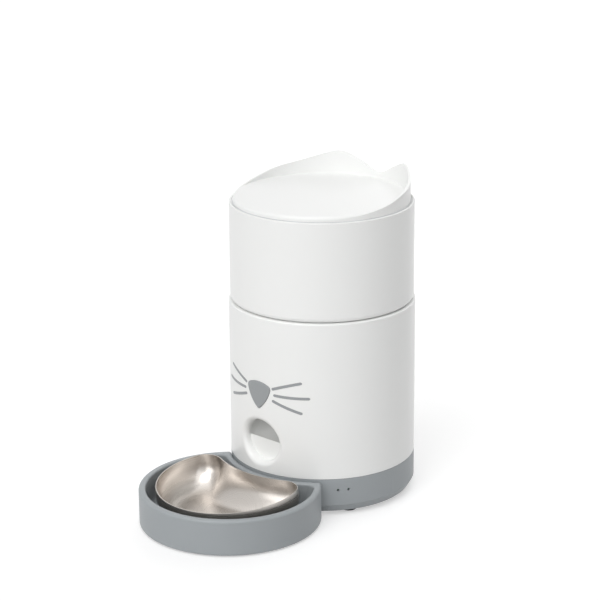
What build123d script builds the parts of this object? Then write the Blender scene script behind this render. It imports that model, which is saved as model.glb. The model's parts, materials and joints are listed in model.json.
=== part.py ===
from build123d import *
import math
import os

# Smart cat feeder, in millimetres.
# The origin is the centre of the footprint on the floor, +Z up, the dish toward -Y.
# Casing, hopper, lid and drive share one upright axis, which stands behind the origin.

# Overall sizes
body_radius = 95.0
body_top = 203.0
base_top = 40.0
base_bottom = 4.0
hopper_height = 101.5
tray_radius = 91.0
tray_height = 38.0
tray_bite = 42.5

# Walls and clearances
wall = 2.6
gap = 0.3
fit_gap = 0.5
slip = 0.1
floor_plate = 3.0

# Base band and the seam between it and the casing
base_taper = 4.6
taper_height = 8.0
lip_height = 3.0
lip_thickness = 1.8
tongue_x = 30.0
tongue_z = 16.0
tongue_width = 20.0
tongue_height = 5.0
inlet_z = 22.0
inlet_width = 16.0
inlet_height = 11.0
hole_turns = (51.5, 58.0)
side_hole_z = 28.2
side_hole_radius = 1.3

# Casing's rim and the liner of its well, measured inward from the casing's side
rim_inset = 4.7
ledge_inset = 7.5
ledge_drop = 6.5
rim_step = 3.0
well_inset = 11.4
liner_wall = 2.4
well_rib_height = 28.0
deck_thickness = 2.5
socket_floor = 3.0
leg_length = 17.8
leg_places = ((-16, 8), (16, 8), (0, 30))

# Hopper with its cone, neck and collar
hopper_inset = 1.5
neck_step = 15.0
cone_drop = 25.5
neck_drop = 52.0
collar_radius = 39.0
collar_drop = 71.0
collar_wall = 2.4
chamber_floor = 3.5
boss_radius = 3.4
boss_inset = 2.8
drop_x = 19.0
drop_y = 12.5
hook_step = 8.0
hook_turn = 28.0
hook_width = 9.0
hook_thickness = 4.0
hook_drop = 9.0
hook_foot = 4.5
window_turn = 13.0
window_length = 12.0
window_width = 6.5
window_depth = 1.3

# Seat of the lid in the hopper: shelf, catches and the gasket between
shelf_drop = 1.2
shelf_width = 2.7
shelf_thickness = 1.2
catch_reach = 9.7
catch_width = 27.0
catch_height = 1.4
catch_turn = -69.0
gasket_thickness = 1.2

# Rotor and shafts
shaft_radius = 3.0
rotor_hub_radius = 9.0
rotor_height = 20.0
rotor_clearance = 1.7
paddle_count = 6
paddle_thickness = 2.4
agitator_reach = 34.0
coupler_radius = 9.0
coupler_height = 9.0
dog_width = 4.0
shaft_gap = 0.08

# Gear train
module_size = 1.0
pinion_teeth = 12
idler_large_teeth = 36
idler_small_teeth = 12
output_teeth = 40
gear_thickness = 4.0
gear_backlash = 0.5
gearbox_height = 18.0
gearbox_wall = 2.0
upper_gear_rise = 9.0
lower_gear_rise = 3.5
idler_pin_radius = 1.5
motor_radius = 14.0
motor_length = 36.0
motor_collar = 4.5
motor_shaft = 1.1

# Outlet, chute and the sensors at its mouth
outlet_rise = 9.4
outlet_radius = 22.3
outlet_round = 4.5
outlet_boss = 10.5
chute_wall = 1.8
chute_flange = 5.0
sensor_depth = 21.0

# Nose and whiskers
nose_rise = 8.7
nose_half_width = 15.4
nose_top = 13.5
nose_corner = 9.0
nose_cheek = (9.4, -5.8)
nose_bottom = 15.3
nose_round = 3.6
nose_tip_round = 2.0
nose_proud = 0.7
nose_travel = 1.4
nose_flange_reach = 2.2
nose_flange_depth = 4.7
nose_board_depth = 14.5
nose_post_x = 22.0
switch_height = 5.0
whisker_width = 2.8
whisker_depth = 0.9
# Each whisker: rise of its middle, then arc distance from the centre and height above the
# nose's middle at both ends
whisker_ends = (
    (0.3, (18.3, 8.8), (48.2, 18.4)),
    (-0.4, (20.2, 2.4), (56.2, 2.9)),
    (-0.2, (18.5, -3.9), (48.6, -13.0)),
)

# Lid
lid_inset = 4.1
lid_plate_top = 5.0
lid_plate = 2.6
lid_round = 3.4
ring_wall = 2.4
ring_height = 5.9
lug_overlap = 2.2
lug_height = 1.5
lug_angle = 18.0
# Half of the ears' outline from the middle outward, as share of the lid's radius and height
ear_points = (
    (0.078, 12.6), (0.208, 18.9), (0.342, 24.6), (0.436, 28.2), (0.509, 29), (0.582, 27.7),
    (0.671, 24.8), (0.783, 20.8), (0.895, 17), (1.03, 12),
)
ear_dip = 11.0
# Side outline of the lid's wall, as share of the lid's radius toward the rear and height
wall_points = (
    (-1.03, 0.8), (-0.783, 1.6), (-0.492, 3.5), (-0.224, 6.2), (0, 9.5), (0.179, 13),
    (0.447, 18.8), (0.671, 24), (0.839, 29), (1.03, 36),
)
desiccant_radius = 26.0
desiccant_height = 13.0
desiccant_wall = 2.0

# Tray and dish
tray_lift = 1.5
tray_rim = 7.0
tray_floor = 7.0
pad_radius = 6.0
pad_inset = 26.0
pad_turns = (10, 170, 240, 300)
dish_room = 9.5
dish_rear_room = 10.5
dish_front = 28.5
dish_rise = 0.07
dish_sheet = 0.9
dish_curve_width = 25.0
dish_curve_height = 25.0
dish_flare = 0.12
dish_corner = 19.0
dish_floor_corner = 13.0
dish_solid_height = 44.0

# Main board at the rear of the casing, and the small board behind the two holes
board_inset = 21.0
board_width = 84.0
board_height = 54.0
board_rise = 40.0
board_post_x = 30.0
board_post_z = 20.0
board_thickness = 1.6
side_board_inset = 7.0

# Power, batteries and feet
cell_radius = 17.1
cell_length = 61.5
cell_pitch = 35.0
cell_cap = 2.0
box_wall = 1.8
door_lap = 3.0
door_thickness = 1.9
rail_width = 2.0
foot_radius = 8.0
foot_inset = 27.0
foot_y = 36.0
foot_sink = 1.0
screw_radius = 1.5
screw_head = 2.9
post_inset = 17.0
post_radius = 4.2
rib_thickness = 2.4

# Worked out from the sizes above
inner_radius = body_radius - wall
rim_radius = body_radius - rim_inset
ledge_radius = body_radius - ledge_inset
ledge_z = body_top - ledge_drop
well_radius = body_radius - well_inset
post_circle = body_radius - post_inset
outlet_z = base_top + outlet_rise + outlet_radius
nose_z = outlet_z + outlet_radius + outlet_round + nose_rise + nose_bottom
tray_distance = body_radius + tray_bite
axis_y = (tray_distance + tray_radius - body_radius) / 2
tray_y = axis_y - tray_distance
front_y = axis_y - body_radius
hopper_radius = body_radius - hopper_inset
inside = hopper_radius - wall
hopper_z = body_top + gap
neck_radius = collar_radius + neck_step
hook_circle = collar_radius + hook_step
hopper_top = hopper_z + hopper_height
cone_top_radius = well_radius - 2 * gap
shelf_z = hopper_top - shelf_drop
shelf_low = shelf_z - shelf_thickness
shelf_radius = inside - shelf_width
catch_radius = inside - catch_reach
neck_bottom = hopper_z - neck_drop
collar_bottom = hopper_z - collar_drop
boss_circle = neck_radius - wall - boss_inset
drop_offset = collar_radius - collar_wall - drop_y - 1.1
deck_z = neck_bottom - fit_gap
socket_z = collar_bottom - fit_gap
socket_radius = collar_radius + 2 * gap
gearbox_top = socket_z - socket_floor - leg_length
gearbox_bottom = gearbox_top - gearbox_height
upper_gear_z = gearbox_bottom + upper_gear_rise
lower_gear_z = gearbox_bottom + lower_gear_rise
lid_z = shelf_z + gasket_thickness + 1.5 * slip
lid_radius = hopper_radius - lid_inset
lid_under = lid_z + lid_plate_top - lid_plate
ring_radius = catch_radius - 2 * gap
lug_reach = catch_radius + lug_overlap
board_y = body_radius - board_inset
board_z = base_top + board_rise
board_places = [
    (x, board_z + z) for z in (-board_post_z, board_post_z) for x in (-board_post_x, board_post_x)
]
foot_places = [(x, y) for x in (foot_inset - body_radius, body_radius - foot_inset)
               for y in (-foot_y, foot_y)]
body_axis = Axis((0, axis_y, 0), (0, 0, 1))
side_plane = Plane(origin=(0, axis_y, 0), x_dir=(1, 0, 0), z_dir=(0, -1, 0))

os.makedirs("parts", exist_ok=True)


def level(height, centre_y=axis_y):
    """Horizontal plane at a height, centred on an upright axis."""
    return Plane(origin=(0, centre_y, height))


def front_plane(depth):
    """Upright plane facing forward, a distance behind the front of the casing."""
    return Plane(origin=(0, front_y + depth, 0), x_dir=(1, 0, 0), z_dir=(0, -1, 0))


def rear_plane(depth, height):
    """Upright plane facing forward, a distance inside the rear of the casing."""
    return Plane(
        origin=(0, axis_y + body_radius - depth, height), x_dir=(1, 0, 0), z_dir=(0, -1, 0)
    )


def outward_plane(turn, radius, height):
    """Upright plane that faces out from the casing's axis, its bearing counted from the front."""
    bearing = math.radians(turn - 90)
    outward = (math.cos(bearing), math.sin(bearing), 0)
    return Plane(
        origin=(radius * outward[0], axis_y + radius * outward[1], height),
        x_dir=(-outward[1], outward[0], 0),
        z_dir=outward,
    )


def at_posts():
    """Places of the four screw posts."""
    return PolarLocations(post_circle, 4, start_angle=45)


def at_bosses():
    """Places of the four screw bosses on the hopper's neck."""
    return PolarLocations(boss_circle, 4, start_angle=45)


def at_hooks(radius):
    """Places of the two hooks under the hopper's neck."""
    return PolarLocations(radius, 2, start_angle=hook_turn)


def save(piece, name):
    """Label a finished piece and write its file."""
    piece.label = name
    export_step(piece, f"parts/{name}.step")


def post_section():
    """Round posts with a web from each to the wall."""
    web = inner_radius + 0.5 - post_circle
    with BuildSketch() as section:
        with at_posts():
            Circle(post_radius)
        with PolarLocations(post_circle + web / 2, 4, start_angle=45):
            Rectangle(web, rib_thickness)
    return section.sketch


def screw_cross():
    """Cross-shaped recess of a screw's head."""
    with BuildSketch() as cross:
        Rectangle(3.2, 0.7)
        Rectangle(0.7, 3.2)
    return cross.sketch


def gear_outline(teeth, bore):
    """Spur gear profile with straight-flanked teeth and a round bore."""
    pitch = module_size * teeth / 2
    tip = pitch + 0.9 * module_size
    root = pitch - 1.15 * module_size
    step = 360 / teeth
    points = []
    for tooth in range(teeth):
        middle = tooth * step
        for radius, share in ((root, -0.36), (tip, -0.14), (tip, 0.14), (root, 0.36)):
            narrowed = share * step - math.copysign(math.degrees(gear_backlash / 4 / pitch), share)
            angle = math.radians(middle + narrowed)
            points.append((radius * math.cos(angle), radius * math.sin(angle)))
    with BuildSketch() as outline:
        with BuildLine():
            Polyline(*points, close=True)
        make_face()
        Circle(bore, mode=Mode.SUBTRACT)
    return outline.sketch


posts = post_section()
cross = screw_cross()

# Base shell: the grey band that the casing stands on
foot_ring = body_radius - base_taper
lip_radius = inner_radius - gap
with BuildPart() as base_shell:
    with BuildSketch(side_plane):
        with BuildLine():
            Polyline(
                (foot_ring - wall, base_bottom),
                (foot_ring, base_bottom),
                (body_radius, base_bottom + taper_height),
                (body_radius, base_top),
                (lip_radius, base_top),
                (lip_radius, base_top + lip_height),
                (lip_radius - lip_thickness, base_top + lip_height),
                (lip_radius - lip_thickness, base_top - 4),
                (inner_radius, base_top - 6),
                (inner_radius, base_bottom + taper_height + 1),
                close=True,
            )
        make_face()
    revolve(axis=body_axis)
    lower_edge = base_shell.edges().filter_by(GeomType.CIRCLE).group_by(Axis.Z)[0].sort_by(
        SortBy.RADIUS
    )[-1]
    fillet(lower_edge, 1.6)
    with BuildSketch(level(base_bottom + floor_plate + slip)):
        add(posts)
    extrude(amount=base_top - base_bottom - floor_plate - slip)
    with Locations(level(base_top)):
        with at_posts():
            Hole(screw_radius + gap)
    # Slots for the tray's two tongues
    with BuildSketch(front_plane(-5)):
        with Locations((-tongue_x, tongue_z), (tongue_x, tongue_z)):
            Rectangle(tongue_width + 2 * fit_gap, tongue_height + 2 * fit_gap)
    extrude(amount=-25, mode=Mode.SUBTRACT)
    # Opening for the power inlet at the rear
    with BuildSketch(rear_plane(-5, inlet_z)):
        RectangleRounded(inlet_width + 2 * gap, inlet_height + 2 * gap, 2)
    extrude(amount=15, mode=Mode.SUBTRACT)
    # Two small holes on the right, for the microphone and the reset pin
    for turn in hole_turns:
        with Locations(outward_plane(turn, body_radius, side_hole_z)):
            Hole(side_hole_radius, depth=8)
save(base_shell.part, "base_shell")

# Bottom plate: closes the base and carries the feet
plate_radius = inner_radius - base_taper - gap
box_inner_x = 2 * cell_pitch + 2 * cell_radius + 1.0
box_inner_y = cell_length + 9.0
opening_x = box_inner_x - 1.2
opening_y = cell_length + 0.5
door_x = opening_x + door_lap + 1.2
door_y = opening_y + 2 * door_lap
rail_x = door_x / 2 + gap + rail_width / 2
with BuildPart() as bottom_plate:
    with BuildSketch(level(base_bottom)):
        Circle(plate_radius)
        RectangleRounded(opening_x, opening_y, 3, mode=Mode.SUBTRACT)
    extrude(amount=floor_plate)
    with Locations(level(base_bottom)):
        with at_posts():
            Hole(screw_radius + gap)
    with BuildSketch(level(base_bottom)):
        with at_posts():
            Circle(screw_head + gap)
    extrude(amount=1.4, mode=Mode.SUBTRACT)
    with BuildSketch(level(base_bottom)):
        with Locations(*foot_places):
            Circle(foot_radius + 2 * slip)
    extrude(amount=foot_sink, mode=Mode.SUBTRACT)
    # Two rails that the battery door slides in
    with BuildSketch(level(base_bottom - door_thickness - fit_gap)):
        with Locations((-rail_x, 0), (rail_x, 0)):
            Rectangle(rail_width, opening_y - 2)
    extrude(amount=door_thickness + fit_gap)
save(bottom_plate.part, "bottom_plate")

# Four rubber feet
with BuildPart() as rubber_feet:
    with BuildSketch(level(0)):
        with Locations(*foot_places):
            Circle(foot_radius)
    extrude(amount=base_bottom + foot_sink)
    fillet(rubber_feet.edges().filter_by(GeomType.CIRCLE).group_by(Axis.Z)[0], 0.8)
save(rubber_feet.part, "rubber_feet")

# Battery door: slides to the rear under the plate, with four grip grooves
door_z = base_bottom - gap - door_thickness
with BuildPart() as battery_door:
    with BuildSketch(level(door_z)):
        RectangleRounded(door_x, door_y, 2.5)
    extrude(amount=door_thickness)
    with BuildSketch(level(door_z)):
        with Locations(*[(0, door_y / 2 - 16 + 3 * row) for row in range(4)]):
            Rectangle(26, 1.2)
    extrude(amount=0.6, mode=Mode.SUBTRACT)
save(battery_door.part, "battery_door")

# Battery box: open below, holds three round cells side by side
box_bottom = base_bottom + floor_plate + slip
box_inner_z = base_bottom + floor_plate + 2 * cell_radius + 2.0
with BuildPart() as battery_box:
    with BuildSketch(level(box_bottom)):
        Rectangle(box_inner_x + 2 * box_wall, box_inner_y + 2 * box_wall)
        Rectangle(box_inner_x, box_inner_y, mode=Mode.SUBTRACT)
    extrude(amount=box_inner_z + box_wall - box_bottom)
    with BuildSketch(level(box_inner_z)):
        Rectangle(box_inner_x, box_inner_y)
    extrude(amount=box_wall)
    with BuildSketch(level(box_bottom)):
        with Locations((-cell_pitch / 2, 0), (cell_pitch / 2, 0)):
            Rectangle(0.7, box_inner_y)
    extrude(amount=10)
save(battery_box.part, "battery_box")

# Three round cells, each with its raised terminal, turned end for end in the middle
cell_z = base_bottom + floor_plate + cell_radius + 1.0
cell_rows = ((-1, 1), (0, -1), (1, 1))
with BuildPart() as battery_cells:
    for place, facing in cell_rows:
        back = Plane(
            origin=(place * cell_pitch, axis_y - facing * cell_length / 2, cell_z), z_dir=(0, facing, 0)
        )
        with BuildSketch(back):
            Circle(cell_radius - 0.4)
        extrude(amount=cell_length - cell_cap)
        with BuildSketch(back.offset(cell_length - cell_cap)):
            Circle(4.5)
        extrude(amount=cell_cap)
save(battery_cells.part, "battery_cells")

# Contacts at the ends of the cells: a cone spring behind, a raised plate in front
contact_plate = 0.8
contact_reach = (box_inner_y - cell_length) / 2 - contact_plate - slip
with BuildPart() as battery_contacts:
    for place, facing in cell_rows:
        for end in (-1, 1):
            wall_face = Plane(
                origin=(place * cell_pitch, axis_y + end * box_inner_y / 2, cell_z),
                z_dir=(0, -end, 0),
            )
            with BuildSketch(wall_face):
                Rectangle(14, 14)
            extrude(amount=contact_plate)
            tip_radius = 3 if end == -facing else 4
            with BuildSketch(wall_face.offset(contact_plate)):
                Circle(6 if end == -facing else tip_radius)
            with BuildSketch(wall_face.offset(contact_plate + contact_reach)):
                Circle(tip_radius)
            loft()
save(battery_contacts.part, "battery_contacts")

# Power inlet at the rear, a small connector body with a flat oval port
with BuildPart() as power_inlet:
    with BuildSketch(rear_plane(0.6, inlet_z)):
        RectangleRounded(inlet_width, inlet_height, 2)
    extrude(amount=18)
    with BuildSketch(rear_plane(0.6, inlet_z)):
        RectangleRounded(10, 4.6, 2.2)
    extrude(amount=9, mode=Mode.SUBTRACT)
save(power_inlet.part, "power_inlet")

# Screws that hold the plate, the base and the casing together
with BuildPart() as base_screws:
    with BuildSketch(level(base_bottom + 0.2)):
        with at_posts():
            Circle(screw_head)
    extrude(amount=1.2)
    with BuildSketch(level(base_bottom + 1.4)):
        with at_posts():
            Circle(screw_radius)
    extrude(amount=base_top + 10 - base_bottom)
    with BuildSketch(level(base_bottom + 0.2)):
        with at_posts():
            add(cross)
    extrude(amount=0.7, mode=Mode.SUBTRACT)
save(base_screws.part, "base_screws")


def nose_outline(grow):
    """Rounded triangle of the nose, grown evenly by a clearance."""
    corner = (nose_half_width + 1.38 * grow, nose_corner + 0.31 * grow)
    cheek = (nose_cheek[0] + 0.84 * grow, nose_cheek[1] - 0.54 * grow)
    tip = (0, -nose_bottom - 1.87 * grow)
    with BuildSketch() as shape:
        with BuildLine():
            ThreePointArc((-corner[0], corner[1]), (0, nose_top + grow), corner)
            ThreePointArc(corner, cheek, tip)
            ThreePointArc(tip, (-cheek[0], cheek[1]), (-corner[0], corner[1]))
        make_face()
        fillet(shape.vertices().sort_by(Axis.Y)[0], nose_tip_round + grow)
        fillet(shape.vertices().sort_by(Axis.X)[0], nose_round + grow)
        fillet(shape.vertices().sort_by(Axis.X)[-1], nose_round + grow)
    return shape.sketch


def whisker_bars(grow, inner, outer):
    """Six narrow bars with round ends, bent round the casing between two radii."""
    arcs = []
    for side in (-1, 1):
        for rise, start, finish in whisker_ends:
            start_x = body_radius * math.sin(start[0] / body_radius)
            finish_x = body_radius * math.sin(finish[0] / body_radius)
            middle = ((start_x + finish_x) / 2, nose_z + (start[1] + finish[1]) / 2 + rise)
            arcs.append(
                ThreePointArc(
                    (side * start_x, nose_z + start[1]),
                    (side * middle[0], middle[1]),
                    (side * finish_x, nose_z + finish[1]),
                )
            )
    with BuildPart() as bars:
        with BuildSketch(front_plane(-3)):
            for arc in arcs:
                SlotArc(arc, whisker_width + 2 * grow)
        extrude(amount=-45)
        with BuildSketch(level(nose_z - 30)):
            Circle(outer)
            Circle(inner, mode=Mode.SUBTRACT)
        extrude(amount=60, mode=Mode.INTERSECT)
    return bars.part


nose_face = nose_outline(0)
nose_opening = nose_outline(gap)
nose_flange = nose_outline(nose_flange_reach)
nose_posts = ((-nose_post_x, nose_z), (nose_post_x, nose_z))
whisker_seats = whisker_bars(slip / 2, body_radius - whisker_depth, body_radius + 2)

# Thick ring inside the front wall, so that the outlet's edge can be well rounded
with BuildPart() as outlet_ring:
    with BuildSketch(front_plane(-1)):
        with Locations((0, outlet_z)):
            Circle(outlet_radius + outlet_round + 1.5)
    extrude(amount=-(outlet_boss + 1))
    with BuildSketch(level(outlet_z - 40)):
        Circle(body_radius - 0.4)
    extrude(amount=80, mode=Mode.INTERSECT)

# Body shell: the white casing
shell_bottom = base_top + gap
rim_floor = ledge_z + rim_step
board_post_end = math.sqrt(inner_radius**2 - board_post_x**2) + 1.1
with BuildPart() as body_shell:
    with BuildSketch(side_plane):
        with BuildLine():
            Polyline(
                (inner_radius, shell_bottom),
                (body_radius, shell_bottom),
                (body_radius, body_top),
                (rim_radius, body_top),
                (rim_radius, rim_floor),
                (ledge_radius, rim_floor),
                (ledge_radius, ledge_z),
                (inner_radius, ledge_z - (inner_radius - ledge_radius)),
                close=True,
            )
        make_face()
    revolve(axis=body_axis)
    top_edge = body_shell.edges().filter_by(GeomType.CIRCLE).group_by(Axis.Z)[-1].sort_by(
        SortBy.RADIUS
    )[-1]
    fillet(top_edge, 1.4)
    add(outlet_ring.part)
    # Posts for the screws from below, carried by the wall
    with BuildSketch(level(shell_bottom)):
        add(posts)
    extrude(amount=16)
    # Room for the base's lip inside the lower edge
    with BuildSketch(level(shell_bottom)):
        Circle(inner_radius)
        Circle(lip_radius - lip_thickness - gap - slip, mode=Mode.SUBTRACT)
    extrude(amount=lip_height + gap, mode=Mode.SUBTRACT)
    with BuildSketch(level(shell_bottom)):
        with at_posts():
            Circle(screw_radius + slip / 2)
    extrude(amount=11.5, mode=Mode.SUBTRACT)
    # Posts that carry the nose's switch board and the main board
    with BuildSketch(front_plane(nose_board_depth)):
        with Locations(*nose_posts):
            Circle(3)
    extrude(amount=nose_board_depth - 5.0)
    with BuildSketch(Plane(origin=(0, axis_y + board_y, 0), x_dir=(-1, 0, 0), z_dir=(0, 1, 0))):
        with Locations(*board_places):
            Circle(3.2)
    extrude(amount=board_post_end - board_y)
    # Outlet
    with BuildSketch(front_plane(-10)):
        with Locations((0, outlet_z)):
            Circle(outlet_radius)
    extrude(amount=-40, mode=Mode.SUBTRACT)
    outlet_edge = body_shell.edges().filter_by(
        lambda edge: abs(edge.bounding_box().size.Z - 2 * outlet_radius) < 0.2
        and edge.bounding_box().min.Y < front_y + 0.5
    )
    fillet(outlet_edge, outlet_round)
    # Opening for the nose, and shallow seats for the whiskers
    with BuildSketch(front_plane(-10)):
        with Locations((0, nose_z)):
            add(nose_opening)
    extrude(amount=-40, mode=Mode.SUBTRACT)
    add(whisker_seats, mode=Mode.SUBTRACT)
save(body_shell.part, "body_shell")

# Whiskers: six grey bars set in the casing
with BuildPart() as whiskers:
    add(whisker_bars(0, body_radius - whisker_depth + slip / 2, body_radius + 0.15))
save(whiskers.part, "whiskers")

# Nose: a push button that bulges a little from the casing
with BuildPart() as nose_button:
    with BuildSketch(front_plane(-4)):
        with Locations((0, nose_z)):
            add(nose_face)
    extrude(amount=-4 - nose_flange_depth)
    with BuildSketch(level(nose_z - 25)):
        Circle(body_radius + nose_proud)
    extrude(amount=50, mode=Mode.INTERSECT)
    fillet(nose_button.faces().sort_by(Axis.Y)[0].edges(), 0.5)
    with BuildSketch(front_plane(nose_flange_depth)):
        with Locations((0, nose_z)):
            add(nose_flange)
    extrude(amount=-1.4)
    with BuildSketch(front_plane(nose_flange_depth)):
        with Locations((0, nose_z)):
            Circle(3.2)
    extrude(amount=-(nose_board_depth - switch_height - nose_travel - slip - nose_flange_depth))
save(nose_button.part, "nose_button")

# Switch and its small board behind the nose
with BuildPart() as nose_switch:
    with BuildSketch(front_plane(nose_board_depth + slip / 2)):
        with Locations((0, nose_z)):
            Rectangle(2 * nose_post_x + 8, 14)
        with Locations(*nose_posts):
            Circle(1.3, mode=Mode.SUBTRACT)
    extrude(amount=-board_thickness)
    with BuildSketch(front_plane(nose_board_depth + slip / 2)):
        with Locations((0, nose_z)):
            Rectangle(6, 6)
    extrude(amount=switch_height - 1.2)
    with BuildSketch(front_plane(nose_board_depth + slip / 2)):
        with Locations((0, nose_z)):
            Circle(1.7)
    extrude(amount=switch_height)
save(nose_switch.part, "nose_switch")

# Hopper well: the liner that the hopper's neck drops into
liner_radius = rim_radius - 2 * gap
hook_inner = hook_circle - hook_thickness / 2
hook_reach = hook_circle + hook_thickness / 2 + hook_foot
with BuildPart() as hopper_well:
    with BuildSketch(side_plane):
        with BuildLine():
            Polyline(
                (well_radius, body_top),
                (liner_radius, body_top),
                (liner_radius, rim_floor + slip),
                (well_radius + liner_wall, rim_floor + slip),
                (well_radius + liner_wall, deck_z - deck_thickness),
                (socket_radius + liner_wall, deck_z - deck_thickness),
                (socket_radius + liner_wall, socket_z - socket_floor),
                (0, socket_z - socket_floor),
                (0, socket_z),
                (socket_radius, socket_z),
                (socket_radius, deck_z),
                (well_radius, deck_z),
                close=True,
            )
        make_face()
    revolve(axis=body_axis)
    upper_inner = hopper_well.edges().filter_by(GeomType.CIRCLE).filter_by(
        lambda edge: abs(edge.radius - well_radius) < 0.1 and edge.center().Z > body_top - 2
    )
    fillet(upper_inner, 1.8)
    # Four upright ribs on the wall of the well
    with BuildSketch(level(deck_z - 1)):
        with PolarLocations(well_radius - 1.5, 4):
            Rectangle(5, 3)
    extrude(amount=well_rib_height)
    # Slots in the deck for the hopper's two hooks
    with BuildSketch(level(deck_z)):
        with at_hooks((hook_inner + hook_reach) / 2):
            Rectangle(hook_reach - hook_inner + 2, hook_width + 2)
    extrude(amount=-deck_thickness, mode=Mode.SUBTRACT)
    # Shaft hole and drop opening in the socket floor
    with BuildSketch(level(socket_z)):
        Circle(shaft_radius + shaft_gap)
        with Locations((0, -drop_offset)):
            Ellipse(drop_x, drop_y)
    extrude(amount=-socket_floor, mode=Mode.SUBTRACT)
save(hopper_well.part, "hopper_well")


def chute_body(grow):
    """Loft from the drop opening down to the round outlet, grown by a wall."""
    with BuildPart() as solid:
        with BuildSketch(Plane(origin=(0, axis_y - drop_offset, chute_top), z_dir=(0, 0, 1))):
            Ellipse(drop_x + grow, drop_y + grow)
        outlet_end = Plane(
            origin=(0, front_y + chute_front, outlet_z), x_dir=(1, 0, 0), z_dir=(0, 1, 0.001)
        )
        with BuildSketch(outlet_end):
            Circle(outlet_radius + grow)
        loft()
    return solid.part


# Chute: carries the food forward from the socket floor to the outlet, in two halves
chute_top = socket_z - socket_floor - slip
chute_front = outlet_boss + slip
with BuildPart() as chute:
    add(chute_body(chute_wall))
    with BuildSketch(front_plane(chute_front)):
        with Locations((0, outlet_z)):
            Circle(outlet_radius + chute_flange)
    extrude(amount=-2)
    add(chute_body(0), mode=Mode.SUBTRACT)
chute_run = axis_y - drop_offset - front_y - chute_front
chute_seam = Plane(
    origin=(0, front_y + chute_front, outlet_z),
    x_dir=(1, 0, 0),
    z_dir=(0, outlet_z - chute_top, chute_run),
)
with BuildPart() as chute_trough:
    add(chute.part)
    split(bisect_by=chute_seam, keep=Keep.BOTTOM)
save(chute_trough.part, "chute_trough")

with BuildPart() as chute_hood:
    add(chute.part)
    split(bisect_by=chute_seam, keep=Keep.TOP)
save(chute_hood.part, "chute_hood")

# Food sensors: two small pods that face each other across the chute's mouth
with BuildPart() as food_sensors:
    for side in (-1, 1):
        pod = Plane(
            origin=(side * (outlet_radius + chute_wall + 2 * slip), front_y + sensor_depth, outlet_z),
            x_dir=(0, 1, 0),
            z_dir=(side, 0, 0),
        )
        with BuildSketch(pod):
            RectangleRounded(9, 12, 1)
        extrude(amount=7)
save(food_sensors.part, "food_sensors")

# Gear train: two stages from the motor's pinion to the shaft under the rotor
idler_y = module_size * (output_teeth + idler_small_teeth) / 2
motor_y = idler_y + module_size * (idler_large_teeth + pinion_teeth) / 2
idler_bore = idler_pin_radius + shaft_gap
output_face = gear_outline(output_teeth, shaft_radius)
idler_large_face = gear_outline(idler_large_teeth, idler_bore)
idler_small_face = gear_outline(idler_small_teeth, idler_bore)
pinion_face = gear_outline(pinion_teeth, motor_shaft + slip / 2)
half_tooth = 180 / pinion_teeth

with BuildPart() as output_gear:
    with BuildSketch(level(upper_gear_z).rotated((0, 0, 90))):
        add(output_face)
    extrude(amount=gear_thickness)
    with BuildSketch(level(upper_gear_z + gear_thickness)):
        Circle(8)
        Circle(shaft_radius, mode=Mode.SUBTRACT)
    extrude(amount=2)
save(output_gear.part, "output_gear")

with BuildPart() as idler_gear:
    with BuildSketch(level(lower_gear_z, axis_y + idler_y).rotated((0, 0, 90))):
        add(idler_large_face)
    extrude(amount=gear_thickness)
    with BuildSketch(level(lower_gear_z + gear_thickness, axis_y + idler_y)):
        Circle(4.4)
        Circle(idler_bore, mode=Mode.SUBTRACT)
    extrude(amount=upper_gear_z - lower_gear_z - gear_thickness)
    with BuildSketch(level(upper_gear_z, axis_y + idler_y).rotated((0, 0, half_tooth - 90))):
        add(idler_small_face)
    extrude(amount=gear_thickness)
save(idler_gear.part, "idler_gear")

with BuildPart() as motor_pinion:
    with BuildSketch(
        level(lower_gear_z - gap, axis_y + motor_y).rotated((0, 0, half_tooth - 90))
    ):
        add(pinion_face)
    extrude(amount=gear_thickness + 2 * gap)
save(motor_pinion.part, "motor_pinion")

# Gearbox: closed housing round the three gears, hung by three legs from the socket floor
tip_room = 0.9 * module_size + gearbox_wall + 1.2
gearbox_circles = (
    (0, module_size * output_teeth / 2 + tip_room),
    (idler_y, module_size * idler_large_teeth / 2 + tip_room),
    (motor_y, module_size * pinion_teeth / 2 + tip_room + 2),
)


def gearbox_outline(shrink):
    """Outline round the three gears, made smaller by a wall."""
    with BuildSketch() as outline:
        for place, radius in gearbox_circles:
            with Locations((0, place)):
                Circle(radius - shrink)
        make_hull()
    return outline.sketch


gearbox_outer = gearbox_outline(0)
gearbox_inner = gearbox_outline(gearbox_wall)
with BuildPart() as gearbox_case:
    with BuildSketch(level(gearbox_bottom)):
        add(gearbox_outer)
    extrude(amount=gearbox_height)
    with BuildSketch(level(gearbox_bottom + gearbox_wall)):
        add(gearbox_inner)
    extrude(amount=gearbox_height - 2 * gearbox_wall, mode=Mode.SUBTRACT)
    # Bearing for the output shaft, pin for the idler, holes above and for the motor's collar
    with BuildSketch(level(gearbox_bottom)):
        Circle(shaft_radius + 2.6)
    extrude(amount=upper_gear_rise - 0.4)
    with BuildSketch(level(gearbox_bottom + 0.8)):
        Circle(shaft_radius + shaft_gap)
    extrude(amount=gearbox_height, mode=Mode.SUBTRACT)
    with BuildSketch(level(gearbox_bottom + 0.5, axis_y + idler_y)):
        Circle(idler_pin_radius)
    extrude(amount=gearbox_height - 1)
    with BuildSketch(level(gearbox_bottom, axis_y + motor_y)):
        Circle(motor_collar + slip)
    extrude(amount=gearbox_wall, mode=Mode.SUBTRACT)
    with BuildSketch(level(gearbox_top - 0.5)):
        with Locations(*leg_places):
            Circle(3)
    extrude(amount=leg_length + 0.5 - slip)
save(gearbox_case.part, "gearbox_case")

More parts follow.
